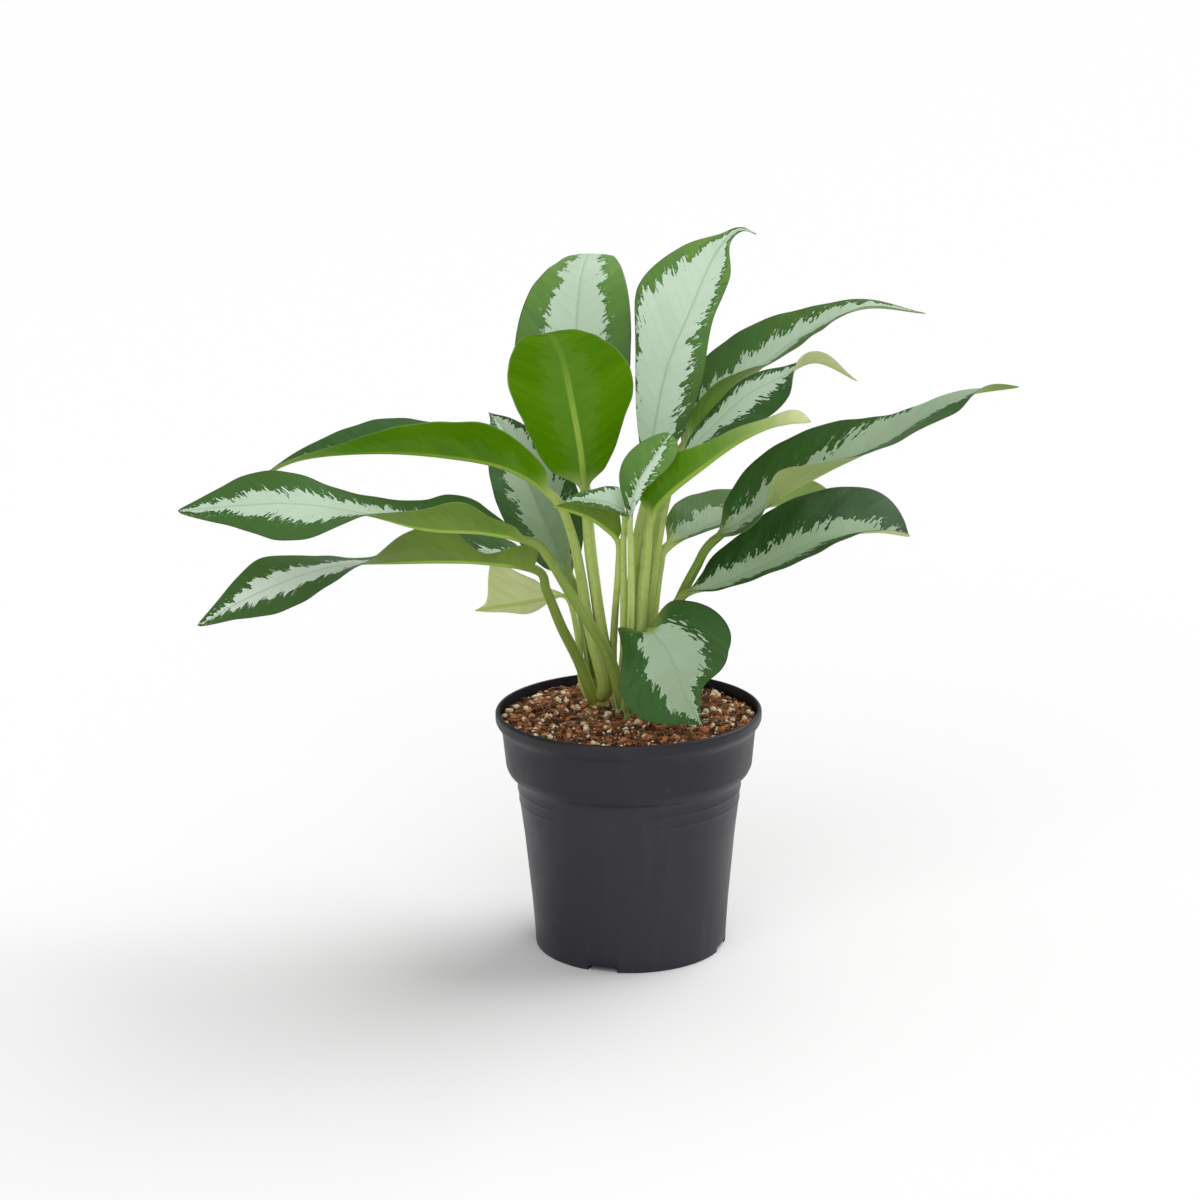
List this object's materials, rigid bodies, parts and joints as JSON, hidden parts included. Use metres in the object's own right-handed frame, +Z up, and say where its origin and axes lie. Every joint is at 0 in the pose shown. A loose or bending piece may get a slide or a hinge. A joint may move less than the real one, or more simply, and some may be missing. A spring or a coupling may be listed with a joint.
{
  "type": "potted chinese evergreen",
  "caption": "Bushy foliage plant with long pointed silver and green leaves on upright stalks, standing in soil in a tapered round nursery pot.",
  "frame": {"origin": "centre of the pot's base, on the surface it stands on", "axes": "+Z up along the pot's axis, +X along the plant's widest spread, -Y towards the viewer of the picture"},
  "size_m": [0.4495, 0.2531, 0.4024],
  "materials": {
    "pot_plastic": "satin, slightly glossy dark grey",
    "soil": "rough, crumbly",
    "cane": "smooth, fleshy",
    "sheath": "dry, papery",
    "leaf_silver": "silky, silver-green middle with a dark green margin",
    "leaf_green": "smooth, bright green underside",
    "leaf_olive": "smooth, olive underside",
    "leaf_pale": "smooth, pale yellow-green"
  },
  "bodies": {
    "root": {"pot": "pot_plastic", "soil": "soil", "cane_a": "cane", "cane_b": "cane", "leaf_01": "leaf_green", "leaf_02": "leaf_silver", "leaf_03": "leaf_green", "leaf_04": "leaf_silver", "leaf_05": "leaf_silver", "leaf_06": "leaf_silver", "leaf_07": "leaf_silver", "leaf_08": "leaf_green", "leaf_09": "leaf_silver", "leaf_10": "leaf_olive", "leaf_11": "leaf_olive", "leaf_12": "leaf_silver", "leaf_13": "leaf_silver", "leaf_14": "leaf_silver", "leaf_15": "leaf_pale", "leaf_16": "leaf_olive", "leaf_17": "leaf_silver", "leaf_18": "leaf_silver", "sheath_1": "sheath", "sheath_2": "sheath"}
  },
  "joints": []
}
